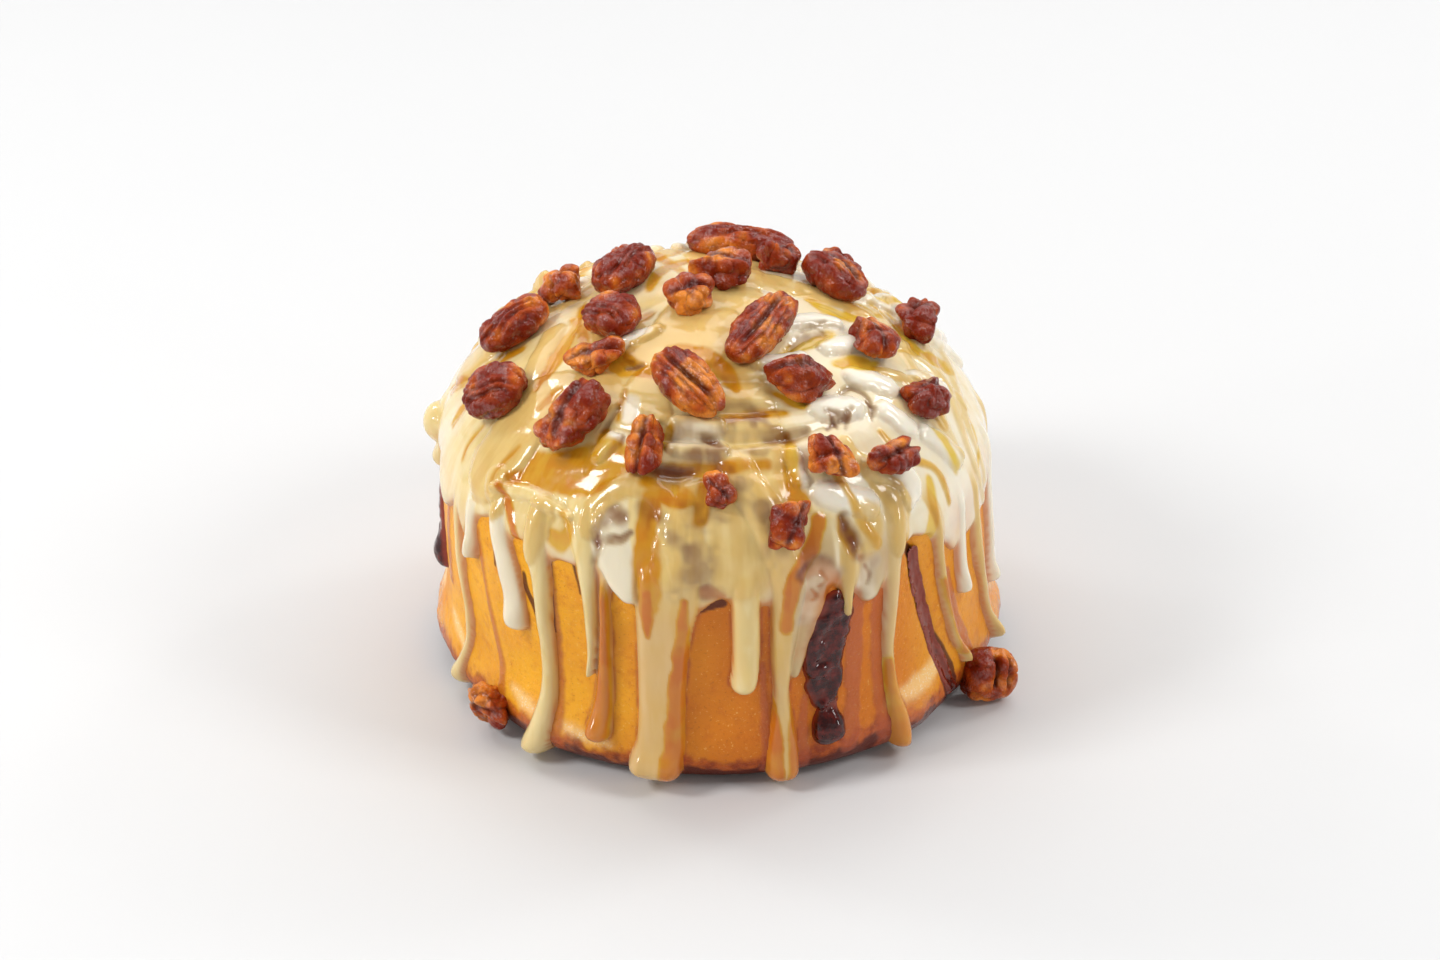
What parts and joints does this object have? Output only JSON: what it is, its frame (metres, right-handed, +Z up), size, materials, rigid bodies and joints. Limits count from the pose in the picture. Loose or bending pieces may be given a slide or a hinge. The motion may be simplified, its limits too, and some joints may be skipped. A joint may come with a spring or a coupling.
{
  "type": "sticky bun",
  "caption": "Tall round sticky bun: a soft spiral roll under cream icing that runs down its side, topped with glazed pecans and cinnamon.",
  "frame": {"origin": "centre of the flat base, on the surface the bun rests on", "axes": "+Z up; -Y towards the front that the picture shows; +X to the right as seen from the front"},
  "size_m": [0.1358, 0.136, 0.0998],
  "materials": {
    "dough": "soft baked crust, golden, browner at the foot",
    "icing": "glossy cream icing with caramel running through it",
    "cinnamon": "glossy dark cinnamon filling",
    "pecan": "glazed, glossy"
  },
  "bodies": {
    "root": {"dough": "dough", "icing": "icing", "cinnamon_run_front": "cinnamon", "cinnamon_run_right": "cinnamon", "cinnamon_run_left": "cinnamon", "pecan_01": "pecan", "pecan_02": "pecan", "pecan_03": "pecan", "pecan_04": "pecan", "pecan_05": "pecan", "pecan_06": "pecan", "pecan_07": "pecan", "pecan_08": "pecan", "pecan_09": "pecan", "pecan_10": "pecan", "pecan_11": "pecan", "pecan_12": "pecan", "pecan_13": "pecan", "pecan_14": "pecan", "pecan_15": "pecan", "pecan_16": "pecan", "pecan_17": "pecan", "pecan_18": "pecan", "pecan_19": "pecan", "pecan_20": "pecan", "pecan_21": "pecan", "pecan_22": "pecan", "pecan_23": "pecan", "pecan_24": "pecan", "pecan_25": "pecan", "pecan_26": "pecan", "pecan_27": "pecan", "pecan_28": "pecan", "pecan_29": "pecan", "pecan_30": "pecan", "pecan_31": "pecan", "pecan_32": "pecan", "pecan_33": "pecan", "pecan_34": "pecan", "pecan_35": "pecan", "pecan_36": "pecan", "pecan_37": "pecan"}
  },
  "joints": []
}
